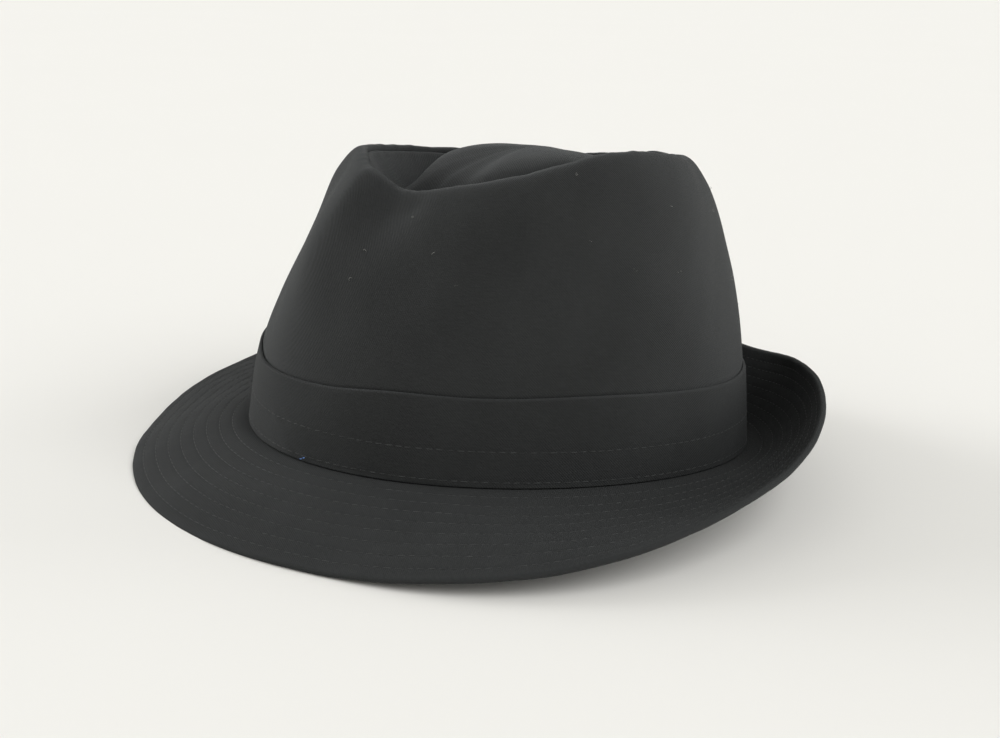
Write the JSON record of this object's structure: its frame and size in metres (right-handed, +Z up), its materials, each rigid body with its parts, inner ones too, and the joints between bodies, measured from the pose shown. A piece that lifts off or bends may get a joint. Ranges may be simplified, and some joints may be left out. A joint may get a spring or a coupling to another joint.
{
  "type": "trilby hat",
  "caption": "Black cotton trilby with a teardrop crown, a pinched front, a hatband of its own cloth, and a short brim turned up behind.",
  "frame": {"origin": "on the table, below the middle of the hat's box", "axes": "+Z up, the front of the hat towards -Y, the wearer's left towards +X"},
  "size_m": [0.2698, 0.2692, 0.123],
  "materials": {
    "crown_cloth": "matt black cotton twill",
    "band_cloth": "matt black cotton twill with stitched edges",
    "brim_cloth": "matt black cotton twill with rows of topstitching"
  },
  "bodies": {
    "root": {"crown_side": "crown_cloth", "crown_tip": "crown_cloth", "hatband": "band_cloth", "brim": "brim_cloth"}
  },
  "joints": []
}
